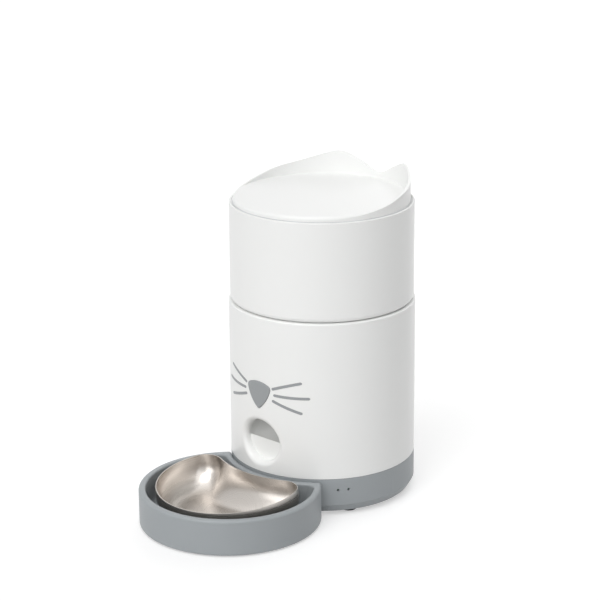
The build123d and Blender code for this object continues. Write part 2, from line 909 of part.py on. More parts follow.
# Drive motor: a can under the gearbox, its thin shaft up through the pinion
with BuildPart() as drive_motor:
    with BuildSketch(level(gearbox_bottom - slip - motor_length, axis_y + motor_y)):
        Circle(motor_radius)
    extrude(amount=motor_length)
    fillet(drive_motor.edges().filter_by(GeomType.CIRCLE), 1.2)
    with BuildSketch(level(gearbox_bottom - 0.5, axis_y + motor_y)):
        Circle(motor_collar)
    extrude(amount=2.3)
    with BuildSketch(level(gearbox_bottom - 0.5, axis_y + motor_y)):
        Circle(motor_shaft)
    extrude(amount=lower_gear_rise + gear_thickness + 1.5)
    with BuildSketch(level(gearbox_bottom + 1 - motor_length, axis_y + motor_y)):
        with Locations((-5, 0), (5, 0)):
            Rectangle(2.4, 0.6)
    extrude(amount=-5.5)
save(drive_motor.part, "drive_motor")

# Drive shaft with a cross-shaped dog that reaches up into the rotor's coupling
dog_reach = 2 * coupler_radius - 3
disc_height = 2.4
with BuildPart() as drive_shaft:
    with BuildSketch(level(gearbox_bottom + 0.9)):
        Circle(shaft_radius)
    extrude(amount=socket_z + 1 - gearbox_bottom - 0.9)
    with BuildSketch(level(socket_z + gap)):
        Circle(coupler_radius)
    extrude(amount=disc_height)
    with BuildSketch(level(socket_z + gap + disc_height)):
        Rectangle(dog_reach, dog_width)
        Rectangle(dog_width, dog_reach)
    extrude(amount=coupler_height - gap - disc_height)
    chamfer(drive_shaft.faces().sort_by(Axis.Z)[-1].edges(), 0.6)
save(drive_shaft.part, "drive_shaft")

# Hopper: a bin with a cone, a neck and a shelf for the lid
neck_end = neck_bottom + chamber_floor + slip
cover_z = neck_bottom + chamber_floor + rotor_height + 1.0
cone_tilt = math.atan2(cone_drop, cone_top_radius - neck_radius)
window_radius = (cone_top_radius + neck_radius) / 2
window_bearing = math.radians(window_turn - 90)
window_plane = Plane(
    origin=(
        window_radius * math.cos(window_bearing),
        axis_y + window_radius * math.sin(window_bearing),
        hopper_z - cone_drop / 2,
    ),
    x_dir=(-math.sin(window_bearing), math.cos(window_bearing), 0),
    z_dir=(
        math.sin(cone_tilt) * math.cos(window_bearing),
        math.sin(cone_tilt) * math.sin(window_bearing),
        -math.cos(cone_tilt),
    ),
)
with BuildPart() as hopper_bin:
    with BuildSketch(side_plane):
        with BuildLine():
            Polyline(
                (neck_radius - wall, neck_end),
                (neck_radius, neck_end),
                (neck_radius, hopper_z - cone_drop),
                (cone_top_radius, hopper_z),
                (hopper_radius, hopper_z),
                (hopper_radius, hopper_top),
                (inside, hopper_top),
                (inside, shelf_z),
                (shelf_radius, shelf_z),
                (shelf_radius, shelf_low),
                (inside, shelf_low),
                (inside, hopper_z + wall + 3),
                (inside - 3, hopper_z + wall),
                (cone_top_radius - 1, hopper_z + wall),
                (neck_radius - wall, hopper_z - cone_drop + wall - 1),
                close=True,
            )
        make_face()
    revolve(axis=body_axis)
    outer_low = hopper_bin.edges().filter_by(GeomType.CIRCLE).filter_by(
        lambda edge: abs(edge.radius - hopper_radius) < 0.1 and edge.center().Z < hopper_z + 1
    )
    fillet(outer_low, 5)
    outer_top = hopper_bin.edges().filter_by(GeomType.CIRCLE).filter_by(
        lambda edge: edge.center().Z > hopper_top - 0.1
    )
    fillet(outer_top, 1.0)
    # Screw bosses on the neck's wall, which also carry the cover over the rotor
    with BuildSketch(level(neck_end)):
        with at_bosses():
            Circle(boss_radius)
    extrude(amount=cover_z - slip - neck_end)
    with BuildSketch(level(neck_end)):
        with at_bosses():
            Circle(1.3)
    extrude(amount=8, mode=Mode.SUBTRACT)
    # Recess on the cone for the level window
    with BuildSketch(window_plane.offset(1)):
        RectangleRounded(window_width, window_length, 1.2)
    extrude(amount=-1 - window_depth, mode=Mode.SUBTRACT)
save(hopper_bin.part, "hopper_bin")

# Level window: a dark lens low in the recess of the cone
with BuildPart() as level_window:
    with BuildSketch(window_plane.offset(slip - window_depth)):
        with Locations((0, -window_length / 6)):
            RectangleRounded(window_width - 1, window_length * 0.6, 1.0)
    extrude(amount=window_depth / 2)
save(level_window.part, "level_window")

# Four catches under the shelf, which hold the lid's lugs when the lid is turned
with BuildPart() as hopper_catches:
    with BuildSketch(level(shelf_low - slip / 2)):
        Circle(inside - slip / 2)
        with PolarLocations(catch_radius + catch_reach, 4, start_angle=catch_turn):
            Rectangle(2 * catch_reach, catch_width, mode=Mode.INTERSECT)
    extrude(amount=-catch_height)
save(hopper_catches.part, "hopper_catches")

# Metering base: closes the neck, with the drop opening, the collar and two hooks below
with BuildPart() as metering_base:
    with BuildSketch(level(neck_bottom)):
        Circle(neck_radius)
    extrude(amount=chamber_floor)
    with BuildSketch(level(neck_bottom)):
        Circle(collar_radius)
        Circle(collar_radius - collar_wall, mode=Mode.SUBTRACT)
    extrude(amount=neck_drop - collar_drop)
    with BuildSketch(level(neck_bottom)):
        Circle(shaft_radius + shaft_gap)
        with Locations((0, -drop_offset)):
            Ellipse(drop_x - 1, drop_y - 0.5)
        with at_bosses():
            Circle(1.7)
    extrude(amount=chamber_floor, mode=Mode.SUBTRACT)
    with BuildSketch(level(neck_bottom)):
        with at_bosses():
            Circle(3.0)
    extrude(amount=1.9, mode=Mode.SUBTRACT)
    chamfer(metering_base.edges().filter_by(GeomType.CIRCLE).group_by(Axis.Z)[0], 0.6)
    with BuildSketch(level(neck_bottom)):
        with at_hooks(hook_circle):
            Rectangle(hook_thickness, hook_width)
    extrude(amount=-hook_drop)
    with BuildSketch(level(neck_bottom - hook_drop)):
        with at_hooks((hook_circle + hook_reach) / 2):
            Rectangle(hook_reach - hook_circle, hook_width)
    extrude(amount=hook_thickness / 2)
save(metering_base.part, "metering_base")

# Four screws that hold the metering base to the neck
with BuildPart() as metering_screws:
    with BuildSketch(level(neck_bottom + slip)):
        with at_bosses():
            Circle(2.8)
    extrude(amount=1.7)
    with BuildSketch(level(neck_bottom + slip + 1.7)):
        with at_bosses():
            Circle(1.25)
    extrude(amount=9)
    with BuildSketch(level(neck_bottom + slip)):
        with at_bosses():
            add(cross)
    extrude(amount=0.8, mode=Mode.SUBTRACT)
save(metering_screws.part, "metering_screws")

# Rotor: six soft paddles that carry one portion each over the drop opening
rotor_radius = boss_circle - boss_radius - rotor_clearance
rotor_z = neck_bottom + chamber_floor + 0.4
hub_height = rotor_height + 6
with BuildPart() as rotor:
    with BuildSketch(level(rotor_z)):
        Circle(rotor_hub_radius)
        with PolarLocations((rotor_radius - 1) / 2, paddle_count, start_angle=30):
            Rectangle(rotor_radius - 1, paddle_thickness)
        with PolarLocations(rotor_radius - 2.2, paddle_count, start_angle=30):
            Circle(2.1)
    extrude(amount=rotor_height)
    with BuildSketch(level(rotor_z)):
        Circle(rotor_hub_radius)
    extrude(amount=hub_height)
    with BuildSketch(level(rotor_z)):
        Circle(shaft_radius + 0.02)
    extrude(amount=hub_height, mode=Mode.SUBTRACT)
save(rotor.part, "rotor")

# Rotor shaft with the cross-shaped socket that drops over the drive shaft's dog
coupling_z = socket_z + disc_height + 1
coupling_top = socket_z + coupler_height + 2.6
agitator_z = rotor_z + hub_height + 2 * slip
cap_height = 10
with BuildPart() as rotor_shaft:
    with BuildSketch(level(coupling_z)):
        Circle(coupler_radius + 2)
    extrude(amount=coupling_top - coupling_z)
    with BuildSketch(level(coupling_z)):
        Rectangle(dog_reach + 2 * gap, dog_width + 2 * gap)
        Rectangle(dog_width + 2 * gap, dog_reach + 2 * gap)
    extrude(amount=socket_z + coupler_height + 0.4 - coupling_z, mode=Mode.SUBTRACT)
    with BuildSketch(level(coupling_top)):
        Circle(shaft_radius)
    extrude(amount=agitator_z + cap_height - 2 - coupling_top)
save(rotor_shaft.part, "rotor_shaft")

# Agitator: three arms that keep the food loose over the rotor
with BuildPart() as agitator:
    with BuildSketch(level(agitator_z)):
        Circle(7.5)
    extrude(amount=cap_height)
    fillet(agitator.faces().sort_by(Axis.Z)[-1].edges(), 3)
    with BuildSketch(level(agitator_z)):
        with PolarLocations(0, 3, start_angle=90):
            with Locations((agitator_reach / 2, 0)):
                SlotOverall(agitator_reach, 4.6)
    extrude(amount=4)
    with BuildSketch(level(agitator_z)):
        Circle(shaft_radius + 0.02)
    extrude(amount=cap_height - 2 + slip, mode=Mode.SUBTRACT)
save(agitator.part, "agitator")

# Portion cover: a sloped roof over the drop opening, resting on the front bosses
cover_inner = rotor_hub_radius + 1
cover_outer = neck_radius - wall - gap - slip
with BuildPart() as portion_cover:
    with BuildSketch(side_plane):
        with BuildLine():
            Polyline(
                (cover_inner, cover_z),
                (cover_outer, cover_z),
                (cover_outer, cover_z + 2),
                (cover_inner, cover_z + 5),
                close=True,
            )
        make_face()
    revolve(axis=body_axis)
    with BuildSketch(level(cover_z - 1)):
        with BuildLine():
            Polyline(
                (0, 4), (-1.4 * cover_outer, -1.2 * cover_outer),
                (1.4 * cover_outer, -1.2 * cover_outer), close=True,
            )
        make_face()
    extrude(amount=12, mode=Mode.INTERSECT)
save(portion_cover.part, "portion_cover")

# Lid gasket: a flat soft ring on the hopper's shelf
with BuildPart() as lid_gasket:
    with BuildSketch(level(shelf_z + slip)):
        Circle(inside - 2 * gap)
        Circle(ring_radius + 1.7, mode=Mode.SUBTRACT)
    extrude(amount=gasket_thickness)
save(lid_gasket.part, "lid_gasket")

# Outlines of the lid's wall: the two ears from the front, the slope from the side
lid_edge = 1.03 * lid_radius
with BuildSketch(Plane(origin=(0, axis_y, lid_z), x_dir=(1, 0, 0), z_dir=(0, -1, 0))) as ear_view:
    with BuildLine():
        right = [(share * lid_radius, height) for share, height in ear_points]
        left = [(-x, height) for x, height in reversed(right)]
        Spline(*left, (0, ear_dip), *right)
        Polyline(right[-1], (lid_edge, 0), (-lid_edge, 0), left[0])
    make_face()
with BuildSketch(Plane(origin=(0, axis_y, lid_z), x_dir=(0, 1, 0), z_dir=(1, 0, 0))) as slope_view:
    with BuildLine():
        slope = [(share * lid_radius, height) for share, height in wall_points]
        Spline(*slope)
        Polyline(slope[-1], (lid_edge, 0), (-lid_edge, 0), slope[0])
    make_face()
with BuildPart() as lid_wall_ring:
    with BuildSketch(level(lid_z + 0.4)):
        Circle(lid_radius - slip / 2)
        Circle(lid_radius - wall, mode=Mode.SUBTRACT)
    extrude(amount=40)
    extrude(ear_view.sketch, amount=2 * body_radius, both=True, mode=Mode.INTERSECT)
    extrude(slope_view.sketch, amount=2 * body_radius, both=True, mode=Mode.INTERSECT)

# Lid: flat plate with a rounded front edge, and the wall that rises into two ears
with BuildPart() as lid_cover:
    with BuildSketch(side_plane):
        with BuildLine():
            Polyline(
                (0, lid_under),
                (ring_radius + 1, lid_under),
                (ring_radius + 2, lid_z),
                (lid_radius, lid_z),
                (lid_radius, lid_z + lid_plate_top),
                (0, lid_z + lid_plate_top),
                close=True,
            )
        make_face()
    revolve(axis=body_axis)
    outer_edge = lid_cover.edges().filter_by(GeomType.CIRCLE).group_by(Axis.Z)[-1]
    fillet(outer_edge, lid_round)
    add(lid_wall_ring.part)
save(lid_cover.part, "lid_cover")

# Lock ring under the lid
ring_bottom = lid_z - ring_height
with BuildPart() as lid_lock_ring:
    with BuildSketch(level(ring_bottom)):
        Circle(ring_radius)
        Circle(ring_radius - ring_wall, mode=Mode.SUBTRACT)
    extrude(amount=lid_under - slip - ring_bottom)
save(lid_lock_ring.part, "lid_lock_ring")

# Four lugs on the lock ring, which slide under the hopper's catches
lug_width = 2 * lug_reach * math.sin(math.radians(lug_angle / 2))
with BuildPart() as lid_lugs:
    with BuildSketch(level(ring_bottom)):
        Circle(lug_reach)
        Circle(ring_radius + slip / 2, mode=Mode.SUBTRACT)
        with PolarLocations(lug_reach, 4):
            Rectangle(lug_reach / 2, lug_width, mode=Mode.INTERSECT)
    extrude(amount=lug_height)
save(lid_lugs.part, "lid_lugs")

# Desiccant case under the middle of the lid, with its pack inside
case_top = lid_under - slip
case_bottom = case_top - desiccant_height
case_inner = desiccant_radius - desiccant_wall
slot_pitch = 8
with BuildPart() as desiccant_case:
    with BuildSketch(level(case_bottom)):
        Circle(desiccant_radius)
    extrude(amount=desiccant_height)
    fillet(desiccant_case.edges().group_by(Axis.Z)[0], 2)
    with BuildSketch(level(case_top)):
        Circle(case_inner)
    extrude(amount=desiccant_wall - desiccant_height, mode=Mode.SUBTRACT)
    with BuildSketch(level(case_bottom)):
        for row in range(-2, 3):
            half = math.sqrt((case_inner - 2)**2 - (slot_pitch * row)**2) - 2
            with Locations((0, slot_pitch * row)):
                SlotOverall(2 * half, 2.4)
    extrude(amount=desiccant_wall + 1, mode=Mode.SUBTRACT)
save(desiccant_case.part, "desiccant_case")

with BuildPart() as desiccant_pack:
    with BuildSketch(level(case_bottom + desiccant_wall + 2 * slip)):
        Circle(case_inner - 2 * gap)
    extrude(amount=8.5)
    fillet(desiccant_pack.edges(), 2.5)
save(desiccant_pack.part, "desiccant_pack")

# Main board at the rear of the casing, with its parts on the side toward the motor
board_plane = Plane(
    origin=(0, axis_y + board_y - slip, board_z), x_dir=(1, 0, 0), z_dir=(0, -1, 0)
)
board_holes = [(x, z - board_z) for x, z in board_places]
# Parts on the board: height, then size and places of each kind
board_parts = (
    (2.6, (16, 24), ((-30, 0),)),
    (1.2, (9, 9), ((12, -4),)),
    (1.2, (6, 4), ((-6, 8),)),
    (5, (7, 9), ((32, -6), (32, 6))),
    (5, (14, 6), ((0, -22),)),
)
with BuildPart() as main_board:
    with BuildSketch(board_plane):
        RectangleRounded(board_width, board_height, 2)
        with Locations(*board_holes):
            Circle(1.4, mode=Mode.SUBTRACT)
    extrude(amount=board_thickness)
    for height, size, places in board_parts:
        with BuildSketch(board_plane.offset(board_thickness)):
            with Locations(*places):
                Rectangle(*size)
        extrude(amount=height)
save(main_board.part, "main_board")

# Screws of the main board and of the nose's switch board
with BuildPart() as board_screws:
    with BuildSketch(board_plane.offset(board_thickness + slip)):
        with Locations(*board_holes):
            Circle(2.4)
    extrude(amount=1.6)
    with BuildSketch(board_plane.offset(board_thickness + slip)):
        with Locations(*board_holes):
            Circle(1.3)
    extrude(amount=-board_thickness - slip)
    head_depth = nose_board_depth + board_thickness + 1.5 * slip
    with BuildSketch(front_plane(head_depth)):
        with Locations(*nose_posts):
            Circle(2.4)
    extrude(amount=-1.5)
    with BuildSketch(front_plane(head_depth)):
        with Locations(*nose_posts):
            Circle(1.2)
    extrude(amount=board_thickness + slip)
save(board_screws.part, "board_screws")

# Small board with the microphone and the reset button, behind the two holes in the base
hole_spread = math.radians(hole_turns[1] - hole_turns[0]) / 2
side_spacing = inner_radius * math.sin(hole_spread)
side_place = outward_plane(sum(hole_turns) / 2, inner_radius - side_board_inset, side_hole_z)
with BuildPart() as side_board:
    with BuildSketch(side_place):
        RectangleRounded(2 * side_spacing + 9.6, 13, 1)
    extrude(amount=board_thickness)
    with BuildSketch(side_place.offset(board_thickness)):
        with Locations((-side_spacing, 0), (side_spacing, 0)):
            Circle(3.4)
    extrude(amount=side_board_inset - board_thickness - 2 * gap)
save(side_board.part, "side_board")


def tray_section(radius, bite, corner):
    """Round outline with a bite for the casing, its two corners rounded."""
    with BuildSketch() as outline:
        Circle(radius)
        with Locations((0, tray_distance)):
            Circle(bite, mode=Mode.SUBTRACT)
        fillet(outline.vertices(), corner)
    return outline.sketch


# Tray: round stand with a bite that docks against the base
dock_radius = body_radius + fit_gap
pocket_z = tray_lift + tray_floor
pocket_bite = dock_radius + tray_rim
tray_outline = tray_section(tray_radius, dock_radius, 3)
tray_pocket = tray_section(tray_radius - tray_rim, pocket_bite, 10)
with BuildPart() as tray:
    with BuildSketch(level(tray_lift, tray_y)):
        add(tray_outline)
    extrude(amount=tray_height - tray_lift)
    fillet(tray.faces().sort_by(Axis.Z)[-1].edges(), 2.8)
    fillet(tray.faces().sort_by(Axis.Z)[0].edges(), 2)
    with BuildSketch(level(tray_height, tray_y)):
        add(tray_pocket)
    extrude(amount=pocket_z - tray_height, mode=Mode.SUBTRACT)
    pocket_low = tray.edges().filter_by(lambda edge: abs(edge.center().Z - pocket_z) < 0.05)
    fillet(pocket_low, 5)
    pocket_top = tray.faces().sort_by(Axis.Z)[-1].inner_wires()[0].edges()
    fillet(pocket_top, 2.2)
    # Recesses for the pads, and the two tongues that slide into the base
    with BuildSketch(level(tray_lift, tray_y)):
        for turn in pad_turns:
            with PolarLocations(tray_radius - pad_inset, 1, start_angle=turn):
                Circle(pad_radius + slip)
    extrude(amount=0.8, mode=Mode.SUBTRACT)
    with BuildSketch(front_plane(1)):
        with Locations((-tongue_x, tongue_z), (tongue_x, tongue_z)):
            Rectangle(tongue_width, tongue_height)
    extrude(amount=-12)
save(tray.part, "tray")

# Pads under the tray
with BuildPart() as tray_pads:
    with BuildSketch(level(0, tray_y)):
        for turn in pad_turns:
            with PolarLocations(tray_radius - pad_inset, 1, start_angle=turn):
                Circle(pad_radius)
    extrude(amount=tray_lift + 0.7)
save(tray_pads.part, "tray_pads")


# Dish: thin metal crescent whose wall curves up from a small flat floor
dish_z = pocket_z + gap
dish_radius = tray_radius - tray_rim - dish_room
dish_bite = pocket_bite + dish_rear_room
curve_angles = (0, 12, 26, 42, 60, 78)


def dish_solid(sheet):
    """Crescent bowl through level outlines, made smaller by the sheet's thickness."""
    levels = []
    for angle in curve_angles:
        turn = math.radians(angle)
        inset = dish_curve_width * (1 - math.sin(turn))
        height = dish_curve_height * (1 - math.cos(turn))
        corner = dish_corner - (dish_corner - dish_floor_corner) * (1 - math.sin(turn))
        levels.append((height, inset, corner))
    for height in (dish_curve_height, dish_solid_height):
        levels.append((height, -dish_flare * (height - dish_curve_height), dish_corner))
    with BuildPart() as solid:
        for height, inset, corner in levels:
            outline = tray_section(
                dish_radius - inset - sheet, dish_bite + inset + sheet, corner - sheet
            )
            with BuildSketch(level(dish_z + height + sheet, tray_y)):
                add(outline)
        loft()
    return solid.part


dish_outer = dish_solid(0)
dish_inner = dish_solid(dish_sheet)
rim_plane = Plane(
    origin=(0, tray_y - dish_radius, dish_z + dish_front),
    x_dir=(1, 0, 0),
    z_dir=(0, -dish_rise, 1),
)
with BuildPart() as dish:
    add(dish_outer)
    add(dish_inner, mode=Mode.SUBTRACT)
    split(bisect_by=rim_plane, keep=Keep.BOTTOM)
save(dish.part, "dish")
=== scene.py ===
import json
import math

import bpy
from mathutils import Matrix, Vector


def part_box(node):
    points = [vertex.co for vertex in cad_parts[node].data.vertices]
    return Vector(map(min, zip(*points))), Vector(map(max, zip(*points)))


# Smart cat feeder: looks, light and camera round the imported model, in metres.
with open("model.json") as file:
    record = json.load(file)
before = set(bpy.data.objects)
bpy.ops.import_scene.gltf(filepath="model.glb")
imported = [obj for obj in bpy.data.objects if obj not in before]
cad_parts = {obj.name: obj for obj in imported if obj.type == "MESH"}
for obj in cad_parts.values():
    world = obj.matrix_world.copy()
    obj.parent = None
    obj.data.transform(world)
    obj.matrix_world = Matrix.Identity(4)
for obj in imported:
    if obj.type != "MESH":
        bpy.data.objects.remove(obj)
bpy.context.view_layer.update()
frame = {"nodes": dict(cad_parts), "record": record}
nodes = frame["nodes"]

# Camera, fitted to the photograph, as distances from the casing's upright axis
AXIS_Y = 0.06675
CAMERA_TURN = math.radians(42.85)
CAMERA_RISE = math.radians(17.54)
CAMERA_ROLL = math.radians(-0.42)
CAMERA_DISTANCE = 2.1134
CAMERA_SIDE = -0.02245
CAMERA_HEIGHT = 0.19844
SENSOR_WIDTH = 36.0
FOCAL_LENGTH = 124.4
CLIP_END = 100

# Surroundings: level as light, and level as seen, where 1 is white
WORLD_LEVEL = 0.38
BACKDROP_LEVEL = 1.0

# Overhead panel that only reflections see: its direction, and how near to it the panel fades in
PANEL_LEVEL = 1.75
PANEL_TOWARD = (0.366, 0.34, 0.866)
PANEL_FROM = 0.42
PANEL_FULL = 0.66

# Floor, a wide disc
FLOOR_RADIUS = 12.0
FLOOR_POINTS = 96
FLOOR_COLOUR = (0.6, 0.6, 0.6)
FLOOR_ROUGHNESS = 0.6
FLOOR_GLOW = 0.47

# Soft lamps: level, then turn from the camera's side, rise and spread in degrees
KEY = (0.42, -22, 58, 46)
FILL = (0.27, -36, 14, 50)
RIM = (0.16, 150, 30, 60)

# Moulded plastic: spread of its gloss round the middle value
GLOSS_SPREAD = 0.12
PLASTIC_IOR = 1.46
COAT_ROUGHNESS = 0.12

# Middle of the dish's rings, measured back from its front edge, and how much height adds to them
DISH_RADIUS = 0.075
RING_HEIGHT_SHARE = 0.8

WHITE = (0.90, 0.905, 0.895)
# Inner white plastic, set a little lighter than the outer white as painted light, so recesses
# such as the food outlet read brighter
WHITE_INNER_PAINTED_LIGHTER = (0.92, 0.925, 0.91)
GREY = (0.345, 0.369, 0.384)
GREY_TRIM = (0.33, 0.345, 0.355)
GREY_LOCK = (0.30, 0.32, 0.33)
DISH_DARK = (0.46, 0.43, 0.40)
DISH_LIGHT = (0.58, 0.55, 0.52)
BOARD_MASK = (0.012, 0.10, 0.05)
BOARD_MASK_DARK = (0.012, 0.085, 0.045)
BOARD_TRACK = (0.03, 0.16, 0.08)


def new_material(name):
    """An empty node material with its tree and its principled shader."""
    material = bpy.data.materials.new(name)
    material.use_nodes = True
    tree = material.node_tree
    return material, tree, tree.nodes["Principled BSDF"]


def object_coordinates(tree, scale=(1, 1, 1)):
    """Object-space coordinates, stretched by a scale."""
    source = tree.nodes.new("ShaderNodeTexCoord")
    mapping = tree.nodes.new("ShaderNodeMapping")
    mapping.inputs["Scale"].default_value = scale
    tree.links.new(source.outputs["Object"], mapping.inputs["Vector"])
    return mapping.outputs["Vector"]


def noise(tree, vector, scale, detail=3.0, roughness=0.5):
    """Noise texture on given coordinates."""
    texture = tree.nodes.new("ShaderNodeTexNoise")
    texture.inputs["Scale"].default_value = scale
    texture.inputs["Detail"].default_value = detail
    texture.inputs["Roughness"].default_value = roughness
    tree.links.new(vector, texture.inputs["Vector"])
    return texture.outputs["Fac"]


def ranged(tree, value, low, high):
    """Value from 0..1 brought to low..high."""
    node = tree.nodes.new("ShaderNodeMapRange")
    node.inputs["To Min"].default_value = low
    node.inputs["To Max"].default_value = high
    tree.links.new(value, node.inputs["Value"])
    return node.outputs["Result"]


def mixed_colour(tree, value, first, second):
    """Colour between two, by a value."""
    node = tree.nodes.new("ShaderNodeMix")
    node.data_type = "RGBA"
    node.inputs["A"].default_value = (*first, 1)
    node.inputs["B"].default_value = (*second, 1)
    tree.links.new(value, node.inputs["Factor"])
    return node.outputs["Result"]


def shaded(colour, share):
    """A colour made darker by a share."""
    return tuple(part * (1 - share) for part in colour)


def bump(tree, shader, height, strength, distance):
    """Bump on a shader from a height value."""
    node = tree.nodes.new("ShaderNodeBump")
    node.inputs["Strength"].default_value = strength
    node.inputs["Distance"].default_value = distance
    tree.links.new(height, node.inputs["Height"])
    tree.links.new(node.outputs["Normal"], shader.inputs["Normal"])


def math_node(tree, operation, *sources, clamp=False):
    """Result of a math node over sockets and plain numbers."""
    node = tree.nodes.new("ShaderNodeMath")
    node.operation = operation
    node.use_clamp = clamp
    for socket, source in zip(node.inputs, sources):
        if isinstance(source, float):
            socket.default_value = source
        else:
            tree.links.new(source, socket)
    return node.outputs[0]


def vector_node(tree, operation, vector, other=(0, 0, 0)):
    """Outputs of a vector math node over a socket and a plain vector."""
    node = tree.nodes.new("ShaderNodeVectorMath")
    node.operation = operation
    node.inputs[1].default_value = other
    tree.links.new(vector, node.inputs[0])
    return node.outputs


def moulded(name, colour, rough, grain_scale, grain_depth, drift=0.02, coat=0.0):
    """Moulded plastic: even colour with a slow drift, fine grain and uneven gloss."""
    material, tree, shader = new_material(name)
    where = object_coordinates(tree)
    slow = noise(tree, where, scale=9, detail=2)
    drifting = mixed_colour(tree, slow, shaded(colour, drift), colour)
    tree.links.new(drifting, shader.inputs["Base Color"])
    uneven = noise(tree, where, scale=60)
    gloss = ranged(tree, uneven, rough * (1 - GLOSS_SPREAD), rough * (1 + GLOSS_SPREAD))
    tree.links.new(gloss, shader.inputs["Roughness"])
    grain = noise(tree, where, grain_scale, detail=2)
    bump(tree, shader, grain, strength=1.0, distance=grain_depth)
    shader.inputs["IOR"].default_value = PLASTIC_IOR
    shader.inputs["Coat Weight"].default_value = coat
    shader.inputs["Coat Roughness"].default_value = COAT_ROUGHNESS
    return material


def soft_rubber(name, colour, rough=0.75):
    """Matt rubber with a dusty bloom."""
    material, tree, shader = new_material(name)
    where = object_coordinates(tree)
    dust = noise(tree, where, scale=45, detail=4, roughness=0.6)
    dusty = tuple(min(1, part * 1.25 + 0.01) for part in colour)
    tree.links.new(mixed_colour(tree, dust, colour, dusty), shader.inputs["Base Color"])
    tree.links.new(ranged(tree, dust, rough * 0.92, rough * 1.08), shader.inputs["Roughness"])
    grain = noise(tree, where, scale=1400, detail=2)
    bump(tree, shader, grain, strength=0.6, distance=0.00005)
    return material


def metal(name, colour, rough, stretch=(1, 1, 1)):
    """Bare metal with fine grain, which a stretch can draw out along one direction."""
    material, tree, shader = new_material(name)
    where = object_coordinates(tree, stretch)
    grain = noise(tree, where, scale=600, detail=4, roughness=0.6)
    streaked = mixed_colour(tree, grain, shaded(colour, 0.25), colour)
    tree.links.new(streaked, shader.inputs["Base Color"])
    tree.links.new(ranged(tree, grain, rough * 0.7, rough * 1.3), shader.inputs["Roughness"])
    shader.inputs["Metallic"].default_value = 1.0
    bump(tree, shader, grain, strength=0.25, distance=0.00002)
    return material


def board(name):
    """Solder mask with faint copper tracks under it."""
    material, tree, shader = new_material(name)
    bricks = tree.nodes.new("ShaderNodeTexBrick")
    bricks.inputs["Color1"].default_value = (*BOARD_MASK, 1)
    bricks.inputs["Color2"].default_value = (*BOARD_MASK_DARK, 1)
    bricks.inputs["Mortar"].default_value = (*BOARD_TRACK, 1)
    bricks.inputs["Scale"].default_value = 220
    bricks.inputs["Mortar Size"].default_value = 0.035
    tree.links.new(object_coordinates(tree), bricks.inputs["Vector"])
    tree.links.new(bricks.outputs["Color"], shader.inputs["Base Color"])
    tree.links.new(ranged(tree, bricks.outputs["Fac"], 0.38, 0.30), shader.inputs["Roughness"])
    bump(tree, shader, bricks.outputs["Fac"], strength=0.6, distance=0.00004)
    return material


def paper_felt(name, colour):
    """Non-woven sheet with crossing fibres."""
    material, tree, shader = new_material(name)
    where = object_coordinates(tree)
    fibres = noise(tree, where, scale=380, detail=8, roughness=0.75)
    mottled = mixed_colour(tree, fibres, shaded(colour, 0.15), colour)
    tree.links.new(mottled, shader.inputs["Base Color"])
    tree.links.new(ranged(tree, fibres, 1.0, 0.88), shader.inputs["Roughness"])
    bump(tree, shader, fibres, strength=0.8, distance=0.0003)
    return material


def dish_metal(name):
    """Warm stainless steel, finely brushed in rings round the dish's middle."""
    material, tree, shader = new_material(name)
    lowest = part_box("dish")[0]
    middle = (0, lowest[1] + DISH_RADIUS, 0)
    source = tree.nodes.new("ShaderNodeTexCoord")
    shift = vector_node(tree, "SUBTRACT", source.outputs["Object"], middle)
    flat = vector_node(tree, "MULTIPLY", shift["Vector"], (1, 1, RING_HEIGHT_SHARE))
    rings = vector_node(tree, "LENGTH", flat["Vector"])
    streaks = tree.nodes.new("ShaderNodeTexNoise")
    streaks.noise_dimensions = "1D"
    streaks.inputs["Scale"].default_value = 2600
    streaks.inputs["Detail"].default_value = 6
    tree.links.new(rings["Value"], streaks.inputs["W"])
    brushed = mixed_colour(tree, streaks.outputs["Fac"], DISH_DARK, DISH_LIGHT)
    tree.links.new(brushed, shader.inputs["Base Color"])
    tree.links.new(ranged(tree, streaks.outputs["Fac"], 0.24, 0.34), shader.inputs["Roughness"])
    shader.inputs["Metallic"].default_value = 1.0
    bump(tree, shader, streaks.outputs["Fac"], strength=0.12, distance=0.00001)
    return material


